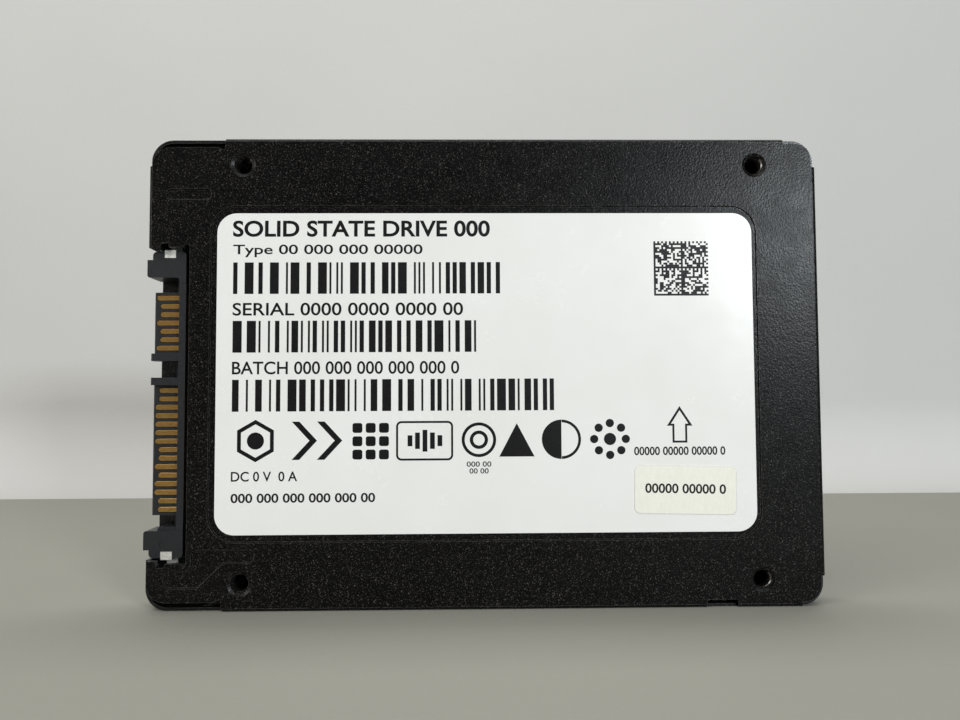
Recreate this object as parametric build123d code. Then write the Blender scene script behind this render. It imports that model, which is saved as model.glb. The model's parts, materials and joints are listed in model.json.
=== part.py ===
from build123d import *
import os

# A 2.5 inch, 7 mm high solid state drive standing on one long side.
# X runs along the drive from the plug end, Y runs from the mounting face to
# the cover face, Z runs up across the drive's width.

# ---- case envelope
CASE_LENGTH = 100.0
CASE_WIDTH = 69.85
CASE_THICKNESS = 7.0
CORNER_RADIUS = 3.25
GUIDE_REACH = 0.45
CASE_START = GUIDE_REACH - (CASE_LENGTH + GUIDE_REACH) / 2
LABEL_FACE = -CASE_THICKNESS / 2
COVER_FACE = CASE_THICKNESS / 2

# ---- base pan, a stamped sheet with folded flanges
PAN_SHEET = 0.8
PAN_INNER = LABEL_FACE + PAN_SHEET
FLANGE_BACK = 1.8
FOLD_RADIUS = 0.7
PLUG_END_INSET = 1.41
CORNER_INSET = 0.5
FAR_CORNER_INSET = 0.75
PAN_CORNER_RADIUS = CORNER_RADIUS - CORNER_INSET
TOP_FLANGE = (11.3, 95.1)
BOTTOM_FLANGE = (11.4, 96.5)
FAR_FLANGE = (4.5, 65.5)
PLUG_END_FLANGE = (53.2, 65.6)
EDGE_NOTCH = (82.3, 86.9)
EDGE_NOTCH_DEPTH = 1.2
RELIEF_START = 10.3
RELIEF_DEPTH = 0.4
STEP = 0.25
STEP_SLOPE = 32.0
PILL_BEAD = (2.64, 9.34, 60.5, 62.2)
PILL_RADIUS = 0.8
BEAD_LEFT = 3.0
BEAD_RIGHT = 16.1
BEAD_LOW = (3.4, 5.9)
BEAD_HIGH = (7.0, 9.0)
BEAD_SWEEP = (7.9, 11.6)
BEAD_RADIUS = 0.85

# ---- plug cut-out in the pan
CUTOUT_REAR = 6.2
CUTOUT_LOW = 7.0
CUTOUT_HIGH = 53.4
CUTOUT_LIP = (0.4, 0.5)
TAB_NOTCH = (1.85, 3.15)
TAB_NOTCH_DEPTH = 0.6
TAB_NOTCH_RADIUS = 0.35
REAR_RELIEF = (0.9, 0.45, 0.4)
CORNER_CUT = ((-1, 51.9), (0.0, 52.0), (1.0, 52.9), (-1, 53.9))
CUT_OVERSHOOT = 1.0

# ---- screw holes, M3
HOLE_X = (14.0, 90.6)
HOLE_Z = (4.065, 65.785)
HOLE_RADIUS = 1.25
COLLAR_RADIUS = 1.95
COLLAR_DEPTH = 2.5
MOUTH_RADIUS = 1.84
THROAT_RADIUS = 1.42
MOUTH_DEPTH = 0.2
THROAT_DEPTH = 0.45
BORE_OVERSHOOT = 0.1
SIDE_HOLE_DEPTH_FROM_FACE = 3.0
SIDE_HOLE_Y = LABEL_FACE + SIDE_HOLE_DEPTH_FROM_FACE

# ---- label recess, label and small sticker
RECESS = (9.2, 90.7, 9.92, 59.64)
RECESS_RADIUS = 4.0
LABEL = (10.2, 90.0, 11.04, 58.5)
LABEL_RADIUS = 2.9
LABEL_THICKNESS = 0.1
STICKER_CENTRE = (79.4, 17.2)
STICKER_SIZE = (15.1, 7.1)
STICKER_TURN = -1.2
STICKER_RADIUS = 0.9
STICKER_THICKNESS = 0.08

# ---- cover, a cast tray
COVER_FLOOR = 0.8
COVER_INNER = COVER_FACE - COVER_FLOOR
COVER_RIM_FRONT = FLANGE_BACK + 0.1
COVER_LIP_FRONT = -2.3
COVER_EDGE_BEVEL = 0.4
WALL_OUT = PAN_SHEET + 0.05
WALL_IN = WALL_OUT + 0.8
LIP = 0.45
LIP_LEDGE = -1.1
POCKET_BACK = 1.5
POCKET_SET_IN = 0.6
POCKET_RUN = 4.0
FLANGE_GAP = 0.15
RIB_X = (72.0, 84.0)
RIB_WIDTH = 0.8
RIB_HEIGHT = 1.2
LUG_FRONT = LABEL_FACE + PAN_SHEET
LEDGE_SIZE = 3.0
LEDGE_REACH = (4.0, 1.0)

# ---- snap nubs between cover wall and flange
NUB_LENGTH = 3.0
NUB_HEIGHT = 0.22
NUB_FRONT = -0.2
NUB_BACK = 0.6
NUB_CLEARANCE = 0.12
NUB_X = (27.0, 50.0, 73.0)
NUB_Z = (20.0, 50.0)

# ---- plug, serial attachment type with 7 signal and 15 power contacts
CONTACT_PITCH = 1.27
SIGNAL_TOP = 46.23
POWER_TOP = 32.26
SIGNAL_COUNT = 7
POWER_COUNT = 15
LONG_SIGNAL = (1, 4, 7)
LONG_POWER = (3, 4, 5, 6, 7, 10, 12, 13)
CONTACT_WIDTH = 0.84
CONTACT_SHEET = 0.3
CONTACT_BEVEL = 0.1
LONG_START = 0.35
SHORT_START = 0.9
CONTACT_FACE = -0.6
TONGUE_FRONT = 0.05
TONGUE_FACE = -0.55
TONGUE_REAR_FACE = 0.68
TONGUE_LEAD_IN = 0.25
ARM_FACE = -1.85
SIGNAL_TONGUE = (37.7, 47.05)
SIGNAL_ARM = (36.65, 37.75)
POWER_TONGUE = (13.66, 33.15)
POWER_ARM = (33.05, 34.15)
SPINE = (4.3, 5.3)
SPINE_FACE = -2.2
SPINE_ENDS = (8.2, 52.6)
GUIDE_FACE = -2.3
GUIDE_REAR_FACE = 2.2
BACK_BAR = (3.3, 4.2)
GROOVE_CLEARANCE = 0.04
CONTACT_TAIL = 0.35
CONTACT_FOOT = 1.2
UPPER_GUIDE = (49.08, 51.72, 52.95)
LOWER_GUIDE = (11.58, 8.8, 7.65)
GUIDE_SHOULDER = 0.36
GUIDE_ROUND = 0.4
GUIDE_CORNER = 0.6
SPINE_ROOT = 0.8
RAMP = ((1.25, 11.4), (1.62, 12.12), (4.3, 12.12), (4.3, 11.4))
RAMP_SET_BACK = 0.5
EJECTOR_MARK = (2.4, 9.57, 0.63, 0.12)
TAB_SEAT = (2.05, 3.8)
TAB_SEAT_REACH = (1.0, 0.8)
TAB_SEAT_DEPTH = 0.3
TAB_SHEET = 0.25
TAB = (2.1, 3.75)
TAB_FOOT = 1.5

# ---- circuit board
BOARD_FRONT = 0.6
BOARD_BACK = 1.6
BOARD = (4.35, 64.0, 2.4, 67.45)
BOARD_ARM_START = 2.0
BOARD_PLUG_GAP = (7.3, 53.35)
BOARD_NOTCH = (11.4, 17.6)
BOARD_NOTCH_DEPTH = 5.2
BOARD_SCREWS = ((8.6, 6.0), (8.6, 62.0), (60.8, 34.9))
SCREW_CLEARANCE_RADIUS = 1.1
SCREW_BORE_RADIUS = 1.0
SCREW_RADIUS = 0.95
SCREW_HEAD_RADIUS = 1.8
SCREW_HEAD_HEIGHT = 0.9
SCREW_HEAD_BEVEL = 0.3
SCREW_END = 3.0
CROSS_REACH = 0.9
CROSS_WIDTH = 0.4
CROSS_DEPTH = 0.5
STANDOFF_RADIUS = 2.1
FIT_GAP = 0.02

# ---- board components: place, then length along X, width along Z, height off the board
CONTROLLER = (22.0, 34.9, 16.0, 16.0, 1.1)
MEMORY_BUFFER = (22.0, 52.5, 11.0, 10.0, 1.0)
FLASH_X = 46.0
FLASH_Z = (10.9, 26.9, 42.9, 58.9)
FLASH_SIZE = (18.0, 14.0, 1.2)
BOOT_FLASH = (12.0, 54.0)
BOOT_FLASH_BODY = (3.9, 4.9, 1.5, 0.15)
LEAD_WIDTH = 0.4
LEAD_SHEET = 0.2
LEAD_LIFT = 0.6
LEAD_KNEE = 2.3
LEAD_TOE = 2.9
POWER_CHIP = (16.0, 12.5, 5.0, 5.0, 0.9)
REGULATOR_X = 24.0
REGULATOR_SIZE = (3.0, 3.0, 0.8)
SUPPLY_Z = (8.0, 14.0, 20.0)
INDUCTOR_X = 30.0
INDUCTOR_SIZE = (4.0, 4.0, 1.5)
INDUCTOR_CROWN = (1.7, 0.3)
CRYSTAL = (34.0, 35.6, 2.5, 3.2, 0.7)
TANTALUM_X = 60.2
TANTALUM_Z = (9.5, 16.0, 54.0, 60.5)
TANTALUM_SIZE = (3.5, 2.8, 1.9)
CERAMIC_SIZE = (1.0, 0.5, 0.5)
CERAMIC_OFFSETS = (-4.5, -1.5, 1.5, 4.5)
CERAMIC_COLUMNS = (34.8, 56.9)
CERAMIC_ROWS = (24.6, 45.2)
CERAMIC_ROW_START = 15.5
CERAMIC_ROW_PITCH = 1.9
CERAMIC_ROW_COUNT = 8
PLUG_CERAMIC_X = 10.4
PLUG_CERAMIC_Z = (38.9, 40.2, 42.7, 44.0)
RESISTOR_SIZE = (1.0, 0.5, 0.35)
RESISTOR_PITCH = 1.8
RESISTOR_COLUMNS = ((12.6, 27.5, 9), (31.8, 27.5, 9), (30.6, 52.0, 6))
INPUT_FUSE = (10.2, 29.0, 3.2, 1.6, 0.6)
SURGE_DIODE = (10.2, 22.0, 4.0, 2.6, 1.2)
PACKAGE_INSET = 0.15
PIN_DOT = (1.0, 0.35, 0.05)
END_CAP_STEP = 0.04
PAD_MARGIN = 0.5


def on_face(depth):
    """Drawing plane at one depth: local X from the plug end, local Y up."""
    return Plane(origin=(CASE_START, depth, 0), x_dir=(1, 0, 0), z_dir=(0, -1, 0))


def slab(drawing, front, back):
    """Solid between two depths with the drawing as its section."""
    return extrude(on_face(back) * drawing, back - front, dir=(0, -1, 0))


def rect(left, right, low, high):
    middle = Pos((left + right) / 2, (low + high) / 2)
    return middle * Rectangle(right - left, high - low)


def soft_rect(left, right, low, high, radius):
    middle = Pos((left + right) / 2, (low + high) / 2)
    return middle * RectangleRounded(right - left, high - low, radius)


def soften(outline, corners):
    """Round chosen corners of an outline, each given as place and radius."""
    for x, z, radius in corners:
        corner = outline.vertices().sort_by_distance((x, z, 0))[0]
        outline = fillet(corner, radius)
    return outline


def disc(x, z, radius):
    return Pos(x, z) * Circle(radius)


def block(left, right, front, back, low, high):
    return slab(rect(left, right, low, high), front, back)


def upright_bar(x, depth, radius, low, high):
    """Round bar parallel to Z, for holes in the long sides."""
    bar = Cylinder(radius, high - low, align=(Align.CENTER, Align.CENTER, Align.MIN))
    return Pos(CASE_START + x, depth, low) * bar


def upright_cone(x, depth, low_radius, high_radius, low, high):
    cone = Cone(
        low_radius,
        high_radius,
        high - low,
        align=(Align.CENTER, Align.CENTER, Align.MIN),
    )
    return Pos(CASE_START + x, depth, low) * cone


def face_cone(x, z, front, front_radius, depth, back_radius):
    """Cone parallel to Y, for holes in the mounting face."""
    mouth = on_face(front) * disc(x, z, front_radius)
    inner = on_face(front + depth) * disc(x, z, back_radius)
    return loft([mouth.face(), inner.face()])


def export(name, shape):
    shape.label = name
    export_step(shape, os.path.join("parts", name + ".step"))


# ---------------------------------------------------------------- base pan
def pan_plate():
    """Flat of the pan: set in at the plug end, a little less at the far corners."""
    high = CASE_WIDTH - PLUG_END_INSET
    top = CASE_WIDTH - CORNER_INSET
    middle_x = CASE_LENGTH / 2
    plug_end = soft_rect(CORNER_INSET, middle_x, PLUG_END_INSET, high, PAN_CORNER_RADIUS)
    middle = rect(TOP_FLANGE[0], TOP_FLANGE[1], CORNER_INSET, top)
    low = FAR_CORNER_INSET
    far = CASE_LENGTH - low
    far_end = soft_rect(middle_x, far, low, CASE_WIDTH - low, CORNER_RADIUS - low)
    plug_end += rect(middle_x - CORNER_RADIUS, middle_x + CORNER_RADIUS, low, CASE_WIDTH - low)
    return slab(plug_end + far_end + middle, LABEL_FACE, PAN_INNER)


def fold_waste_along_x(start, end, at_top):
    """Material outside the rounded fold of a long flange."""
    edge = CASE_WIDTH if at_top else 0.0
    inward = -FOLD_RADIUS if at_top else FOLD_RADIUS
    low, high = sorted((edge, edge + inward))
    waste = block(start, end, LABEL_FACE, LABEL_FACE + FOLD_RADIUS, low, high)
    roll = Rot(0, 90, 0) * Cylinder(FOLD_RADIUS, end - start)
    centre = Pos(CASE_START + (start + end) / 2, LABEL_FACE + FOLD_RADIUS, edge + inward)
    return waste - centre * roll


def fold_waste_along_z(start, end, at_far_end):
    """Material outside the rounded fold of an end flange."""
    edge = CASE_LENGTH if at_far_end else 0.0
    inward = -FOLD_RADIUS if at_far_end else FOLD_RADIUS
    left, right = sorted((edge, edge + inward))
    waste = block(left, right, LABEL_FACE, LABEL_FACE + FOLD_RADIUS, start, end)
    depth = LABEL_FACE + FOLD_RADIUS
    return waste - upright_bar(edge + inward, depth, FOLD_RADIUS, start, end)


def pan_flanges():
    """Four flanges folded back from the plate."""
    top = block(*TOP_FLANGE, LABEL_FACE, FLANGE_BACK, CASE_WIDTH - PAN_SHEET, CASE_WIDTH)
    bottom = block(*BOTTOM_FLANGE, LABEL_FACE, FLANGE_BACK, 0, PAN_SHEET)
    far = block(CASE_LENGTH - PAN_SHEET, CASE_LENGTH, LABEL_FACE, FLANGE_BACK, *FAR_FLANGE)
    plug = block(0, PAN_SHEET, LABEL_FACE, FLANGE_BACK, *PLUG_END_FLANGE)
    top -= fold_waste_along_x(*TOP_FLANGE, True)
    bottom -= fold_waste_along_x(*BOTTOM_FLANGE, False)
    far -= fold_waste_along_z(*FAR_FLANGE, True)
    plug -= fold_waste_along_z(*PLUG_END_FLANGE, False)
    return top + bottom + far + plug


def corner_bead():
    """Stepped panel that sweeps round the lower corner by the plug."""
    points = [
        (BEAD_LEFT, BEAD_LOW[0]),
        (BEAD_SWEEP[0], BEAD_LOW[0]),
        (BEAD_SWEEP[1], BEAD_HIGH[0]),
        (BEAD_RIGHT, BEAD_HIGH[0]),
        (BEAD_RIGHT, BEAD_HIGH[1]),
        (BEAD_SWEEP[0] - 1, BEAD_HIGH[1]),
        (BEAD_SWEEP[0] - 1, BEAD_LOW[1]),
        (BEAD_LEFT, BEAD_LOW[1]),
    ]
    outline = Polygon(*points, align=None)
    return fillet(outline.vertices(), BEAD_RADIUS)


def pressed_in(plate, drawing):
    """Press a region of the plate inwards by one step, with a sloping edge."""
    start = on_face(LABEL_FACE) * drawing
    plate -= extrude(start, STEP, dir=(0, 1, 0), taper=STEP_SLOPE)
    return plate + slab(drawing, PAN_INNER - STEP, PAN_INNER + STEP)


def through_pan(drawing):
    """Cutting tool that goes right through the pan and its flanges."""
    return slab(drawing, LABEL_FACE - CUT_OVERSHOOT, FLANGE_BACK + CUT_OVERSHOOT)


def plug_cutout():
    """Opening over the plug with clearance notches for the two hold-down tabs."""
    low_lip, high_lip = CUTOUT_LIP
    front = rect(-CUT_OVERSHOOT, TAB_NOTCH[0], CUTOUT_LOW + low_lip, CUTOUT_HIGH - high_lip)
    opening = rect(TAB_NOTCH[0], CUTOUT_REAR, CUTOUT_LOW, CUTOUT_HIGH)
    low = CUTOUT_LOW - TAB_NOTCH_DEPTH
    high = CUTOUT_HIGH + TAB_NOTCH_DEPTH
    notches = soft_rect(*TAB_NOTCH, low, high, TAB_NOTCH_RADIUS)
    back, rise, radius = REAR_RELIEF
    relief = soft_rect(CUTOUT_REAR - back, CUTOUT_REAR, CUTOUT_LOW, CUTOUT_HIGH + rise, radius)
    corner = Polygon(*CORNER_CUT, align=None)
    return through_pan(front + opening + notches + relief + corner)


def fold_reliefs():
    """Small slanted relief cuts where the long flanges start."""
    end = TOP_FLANGE[0]
    low = PLUG_END_INSET
    tools = []
    for edge, inward in ((0.0, 1), (CASE_WIDTH, -1)):
        points = [
            (RELIEF_START, edge - inward),
            (RELIEF_START, edge + inward * low),
            (end - RELIEF_DEPTH, edge + inward * (low + RELIEF_DEPTH)),
            (end, edge + inward * (low + RELIEF_DEPTH)),
            (end, edge - inward),
        ]
        tools.append(through_pan(Polygon(*points, align=None)))
    return tools


def screw_collars():
    """Drawn collars that carry the threads, four in the face and four in the sides."""
    collars = []
    for x in HOLE_X:
        for z in HOLE_Z:
            section = disc(x, z, COLLAR_RADIUS)
            collars.append(slab(section, LABEL_FACE, LABEL_FACE + COLLAR_DEPTH))
        collars.append(upright_bar(x, SIDE_HOLE_Y, COLLAR_RADIUS, 0, COLLAR_DEPTH))
        low = CASE_WIDTH - COLLAR_DEPTH
        collars.append(upright_bar(x, SIDE_HOLE_Y, COLLAR_RADIUS, low, CASE_WIDTH))
    return collars


def face_bore(x, z):
    """Thread bore in the mounting face: flared mouth, narrowing throat, bore."""
    depth = LABEL_FACE + COLLAR_DEPTH + BORE_OVERSHOOT
    bore = slab(disc(x, z, HOLE_RADIUS), LABEL_FACE - CUT_OVERSHOOT, depth)
    mouth = face_cone(x, z, LABEL_FACE, MOUTH_RADIUS, MOUTH_DEPTH, THROAT_RADIUS)
    throat_depth = THROAT_DEPTH - MOUTH_DEPTH
    throat = face_cone(x, z, LABEL_FACE + MOUTH_DEPTH, THROAT_RADIUS, throat_depth, HOLE_RADIUS)
    return bore + mouth + throat


def side_bore(x, at_top):
    """Thread bore in a long side, with the same mouth and throat."""
    depth = COLLAR_DEPTH + BORE_OVERSHOOT
    bore = upright_bar(x, SIDE_HOLE_Y, HOLE_RADIUS, -CUT_OVERSHOOT, depth)
    bore += upright_cone(x, SIDE_HOLE_Y, MOUTH_RADIUS, THROAT_RADIUS, 0, MOUTH_DEPTH)
    bore += upright_cone(x, SIDE_HOLE_Y, THROAT_RADIUS, HOLE_RADIUS, MOUTH_DEPTH, THROAT_DEPTH)
    if at_top:
        return Pos(0, 0, CASE_WIDTH) * bore.mirror(Plane.XY)
    return bore


def screw_bores():
    bores = []
    for x in HOLE_X:
        for z in HOLE_Z:
            bores.append(face_bore(x, z))
        for at_top in (False, True):
            bores.append(side_bore(x, at_top))
    return bores


def nub_spaces(grow, height):
    """Blocks for the snap nubs, or for their pockets when grown."""
    half = NUB_LENGTH / 2 + grow
    front = NUB_FRONT - grow
    back = NUB_BACK + grow
    out = WALL_OUT - height
    blocks = []
    for x in NUB_X:
        blocks.append(block(x - half, x + half, front, back, out, WALL_OUT))
        low = CASE_WIDTH - WALL_OUT
        blocks.append(block(x - half, x + half, front, back, low, CASE_WIDTH - out))
    for z in NUB_Z:
        left = CASE_LENGTH - WALL_OUT
        blocks.append(block(left, CASE_LENGTH - out, front, back, z - half, z + half))
    return blocks


def base_pan():
    pan = pan_plate() + pan_flanges()
    pan = pressed_in(pan, soft_rect(*RECESS, RECESS_RADIUS))
    pan = pressed_in(pan, soft_rect(*PILL_BEAD, PILL_RADIUS))
    pan = pressed_in(pan, corner_bead())
    pan -= plug_cutout()
    for tool in fold_reliefs():
        pan -= tool
    pan -= through_pan(rect(*EDGE_NOTCH, -CUT_OVERSHOOT, EDGE_NOTCH_DEPTH))
    for collar in screw_collars():
        pan += collar
    for bore in screw_bores():
        pan -= bore
    for pocket in nub_spaces(NUB_CLEARANCE, NUB_HEIGHT + NUB_CLEARANCE):
        pan -= pocket
    return pan


# ---------------------------------------------------------------- cover
def cover_shell():
    """Full outline at the back, walls set in behind the flanges."""
    case = soft_rect(0, CASE_LENGTH, 0, CASE_WIDTH, CORNER_RADIUS)
    shell = slab(case, COVER_LIP_FRONT, COVER_FACE)
    rear_edges = shell.faces().sort_by(Axis.Y)[-1].edges()
    shell = chamfer(rear_edges, COVER_EDGE_BEVEL)
    front = COVER_LIP_FRONT - 1
    high = CASE_WIDTH - WALL_OUT
    gap = FLANGE_GAP
    far = CASE_LENGTH - WALL_OUT
    top = (TOP_FLANGE[0] - gap, TOP_FLANGE[1] + gap)
    bottom = (BOTTOM_FLANGE[0] - gap, BOTTOM_FLANGE[1] + gap)
    end = (FAR_FLANGE[0] - gap, FAR_FLANGE[1] + gap)
    plug = (PLUG_END_FLANGE[0] - gap, PLUG_END_FLANGE[1] + gap)
    shell -= block(*top, front, COVER_RIM_FRONT, high, CASE_WIDTH + 1)
    shell -= block(*bottom, front, COVER_RIM_FRONT, -1, WALL_OUT)
    shell -= block(far, CASE_LENGTH + 1, front, COVER_RIM_FRONT, *end)
    shell -= block(-1, WALL_OUT, front, COVER_RIM_FRONT, *plug)
    return shell


def cover_cavity():
    """Inside of the tray, open at the plug end."""
    front = COVER_LIP_FRONT - 1
    far = CASE_LENGTH - WALL_IN
    high = CASE_WIDTH - WALL_IN
    inside = soft_rect(WALL_IN, far, WALL_IN, high, CORNER_RADIUS / 2)
    plug_gap = rect(-1, WALL_IN + 1, CUTOUT_LOW + 0.4, PLUG_END_FLANGE[0])
    cavity = slab(inside + plug_gap, front, COVER_INNER)
    lip_end = CASE_LENGTH - LIP
    lip_top = CASE_WIDTH - LIP
    radius = CORNER_RADIUS - LIP
    ledge = slab(soft_rect(LIP, lip_end, LIP, lip_top, radius), front, LIP_LEDGE)
    return [cavity, ledge, *corner_pockets(front)]


def corner_pockets(front):
    """Deep slots behind the set-in corners at the plug end."""
    radius = CORNER_RADIUS - LIP
    end = TOP_FLANGE[0] - POCKET_SET_IN
    low_end = CUTOUT_LOW + CUTOUT_LIP[0]
    high_start = PLUG_END_FLANGE[1] + CUTOUT_LIP[0]
    low_pocket = soft_rect(LIP, end, LIP, low_end + POCKET_RUN, radius)
    low_pocket -= rect(-1, end + 1, low_end, low_end + POCKET_RUN + 1)
    high_pocket = soft_rect(LIP, end, high_start - POCKET_RUN, CASE_WIDTH - LIP, radius)
    high_pocket -= rect(-1, end + 1, high_start - POCKET_RUN - 1, high_start)
    pockets = (low_pocket, high_pocket)
    return [slab(pocket, front, POCKET_BACK) for pocket in pockets]


def collar_slots():
    """Open slots in the walls that let the side collars pass."""
    front = COVER_LIP_FRONT - 1
    radius = COLLAR_RADIUS + 0.15
    slots = []
    for x in HOLE_X:
        for low, high in ((WALL_OUT - 0.1, WALL_IN + 1), (-WALL_IN - 1, -WALL_OUT + 0.1)):
            if low < 0:
                low, high = CASE_WIDTH + low, CASE_WIDTH + high
            slots.append(upright_bar(x, SIDE_HOLE_Y, radius, low, high))
            slots.append(block(x - radius, x + radius, front, SIDE_HOLE_Y, low, high))
    return slots


def board_supports():
    """Screw standoffs and two ledges that carry the board."""
    supports = []
    for x, z in BOARD_SCREWS:
        supports.append(slab(disc(x, z, STANDOFF_RADIUS), BOARD_BACK + FIT_GAP, COVER_INNER))
    left = BOARD[1] - LEDGE_REACH[0]
    right = BOARD[1] + LEDGE_REACH[1]
    front = BOARD_BACK + FIT_GAP
    for low in (WALL_IN, CASE_WIDTH - WALL_IN - LEDGE_SIZE):
        supports.append(block(left, right, front, COVER_INNER, low, low + LEDGE_SIZE))
    return supports


def stiffening_ribs():
    """Low ribs on the cover floor beyond the board."""
    ribs = []
    front = COVER_INNER - RIB_HEIGHT
    for x in RIB_X:
        ribs.append(block(x, x + RIB_WIDTH, front, COVER_INNER, WALL_IN, CASE_WIDTH - WALL_IN))
    return ribs


def locating_lug():
    """Lug that fills the notch in the pan's lower flange."""
    left, right = EDGE_NOTCH
    return block(left + FLANGE_GAP, right - FLANGE_GAP, LUG_FRONT, COVER_RIM_FRONT, 0, WALL_IN)


def top_cover():
    cover = cover_shell() + locating_lug()
    for tool in cover_cavity():
        cover -= tool
    for slot in collar_slots():
        cover -= slot
    for nub in nub_spaces(0, NUB_HEIGHT):
        cover += nub
    for support in board_supports() + stiffening_ribs():
        cover += support
    for x, z in BOARD_SCREWS:
        cover -= slab(disc(x, z, SCREW_BORE_RADIUS), BOARD_BACK - 1, SCREW_END + 0.1)
    return cover


# ---------------------------------------------------------------- labels
def rating_label():
    back = LABEL_FACE + STEP
    return slab(soft_rect(*LABEL, LABEL_RADIUS), back - LABEL_THICKNESS, back)


def origin_sticker():
    back = LABEL_FACE + STEP - LABEL_THICKNESS
    paper = Rot(0, 0, STICKER_TURN) * RectangleRounded(*STICKER_SIZE, STICKER_RADIUS)
    return slab(Pos(*STICKER_CENTRE) * paper, back - STICKER_THICKNESS, back)


# ---------------------------------------------------------------- plug
def contact_rows():
    """Height and length class of each contact, signal row then power row."""
    signal = []
    for index in range(SIGNAL_COUNT):
        signal.append((SIGNAL_TOP - index * CONTACT_PITCH, index + 1 in LONG_SIGNAL))
    power = []
    for index in range(POWER_COUNT):
        power.append((POWER_TOP - index * CONTACT_PITCH, index + 1 in LONG_POWER))
    return signal, power


def contact_blade(start):
    """One contact at height zero: blade, drop behind the spine, foot on the board."""
    radius = CONTACT_WIDTH / 2
    tail = SPINE[1] + CONTACT_TAIL
    plan = rect(start + radius, tail, -radius, radius) + disc(start + radius, 0, radius)
    blade = slab(plan, CONTACT_FACE, CONTACT_FACE + CONTACT_SHEET)
    face_edges = blade.faces().sort_by(Axis.Y)[0].edges()
    blade = chamfer(face_edges, CONTACT_BEVEL)
    seat = BOARD_FRONT - FIT_GAP
    drop = block(tail - CONTACT_SHEET, tail, CONTACT_FACE + CONTACT_BEVEL, seat, -radius, radius)
    toe = tail + CONTACT_FOOT
    foot = block(tail - CONTACT_SHEET, toe, seat - CONTACT_SHEET, seat, -radius, radius)
    return blade + drop + foot


def contact_set(row):
    long_blade = contact_blade(LONG_START)
    short_blade = contact_blade(SHORT_START)
    blades = []
    for height, is_long in row:
        blades.append(Pos(0, 0, height) * (long_blade if is_long else short_blade))
    return Compound(children=blades)


def tongue(low, high):
    """Contact-bearing tongue with bevelled leading edges."""
    body = block(TONGUE_FRONT, SPINE[0], TONGUE_FACE, TONGUE_REAR_FACE, low, high)
    leading = body.faces().sort_by(Axis.X)[0].edges().filter_by(Axis.Z)
    return chamfer(leading, TONGUE_LEAD_IN)


def key_arm(low, high):
    """Thicker arm that makes each tongue L-shaped."""
    body = block(TONGUE_FRONT, SPINE[0], ARM_FACE, TONGUE_REAR_FACE, low, high)
    leading = body.faces().sort_by(Axis.X)[0].edges().filter_by(Axis.Z)
    return chamfer(leading, TONGUE_LEAD_IN)


def guide_plan(inner, shoulder, outer):
    """Outline of a guide block: shouldered nose, rounded corners, root on the spine."""
    toward_spine = -1 if outer > inner else 1
    root = inner + toward_spine * SPINE_ROOT
    left, right = SPINE
    points = [
        (-GUIDE_REACH, inner),
        (-GUIDE_REACH, shoulder),
        (GUIDE_SHOULDER, shoulder),
        (GUIDE_SHOULDER, outer),
        (right, outer),
        (right, root),
        (left, root),
        (left, inner),
    ]
    corners = [
        (-GUIDE_REACH, inner, GUIDE_ROUND),
        (GUIDE_SHOULDER, outer, GUIDE_CORNER),
        (right, outer, GUIDE_CORNER),
        (left, inner, GUIDE_ROUND),
    ]
    return soften(Polygon(*points, align=None), corners)


def guide_ramp():
    """Low bevelled ridge along the inner side of the lower guide."""
    return slab(Polygon(*RAMP, align=None), GUIDE_FACE + RAMP_SET_BACK, GUIDE_REAR_FACE)


def guide_body(plan):
    """Guide block in front of the board edge, shallower above the board."""
    deep = plan & rect(-GUIDE_REACH, BACK_BAR[1], 0, CASE_WIDTH)
    full = slab(deep, GUIDE_FACE, GUIDE_REAR_FACE)
    return full + slab(plan, GUIDE_FACE, BOARD_FRONT - FIT_GAP)


def connector_housing():
    seat = BOARD_FRONT - FIT_GAP
    body = block(*SPINE, SPINE_FACE, seat, *SPINE_ENDS)
    body += block(*BACK_BAR, TONGUE_REAR_FACE - 0.1, GUIDE_REAR_FACE, *SPINE_ENDS)
    body += tongue(*SIGNAL_TONGUE) + tongue(*POWER_TONGUE)
    body += key_arm(*SIGNAL_ARM) + key_arm(*POWER_ARM)
    body += guide_body(guide_plan(*UPPER_GUIDE))
    body += guide_body(guide_plan(*LOWER_GUIDE)) + guide_ramp()
    body += block(SPINE[0] - 1, SPINE[0], 0, TONGUE_REAR_FACE, *SPINE_ENDS)
    for row in contact_rows():
        for height, is_long in row:
            body -= contact_groove(height, LONG_START if is_long else SHORT_START)
    x, z, radius, sunk = EJECTOR_MARK
    body -= slab(disc(x, z, radius), GUIDE_FACE - 1, GUIDE_FACE + sunk)
    for low, high in tab_seats():
        body -= block(*TAB_SEAT, GUIDE_FACE - 1, GUIDE_FACE + TAB_SEAT_DEPTH, low, high)
    return body


def tab_seats():
    """Heights of the recesses under the crowns of the hold-down tabs."""
    inward, outward = TAB_SEAT_REACH
    high = UPPER_GUIDE[2]
    low = LOWER_GUIDE[2]
    return (high - inward, high + outward), (low - outward, low + inward)


def contact_groove(height, start):
    """Seat for one contact through tongue and spine."""
    half = CONTACT_WIDTH / 2 + GROOVE_CLEARANCE
    left = start - GROOVE_CLEARANCE
    plan = rect(left + half, SPINE[1] + 1, height - half, height + half)
    plan += disc(left + half, height, half)
    back = CONTACT_FACE + CONTACT_SHEET + GROOVE_CLEARANCE
    return slab(plan, CONTACT_FACE - GROOVE_CLEARANCE, back)


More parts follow.
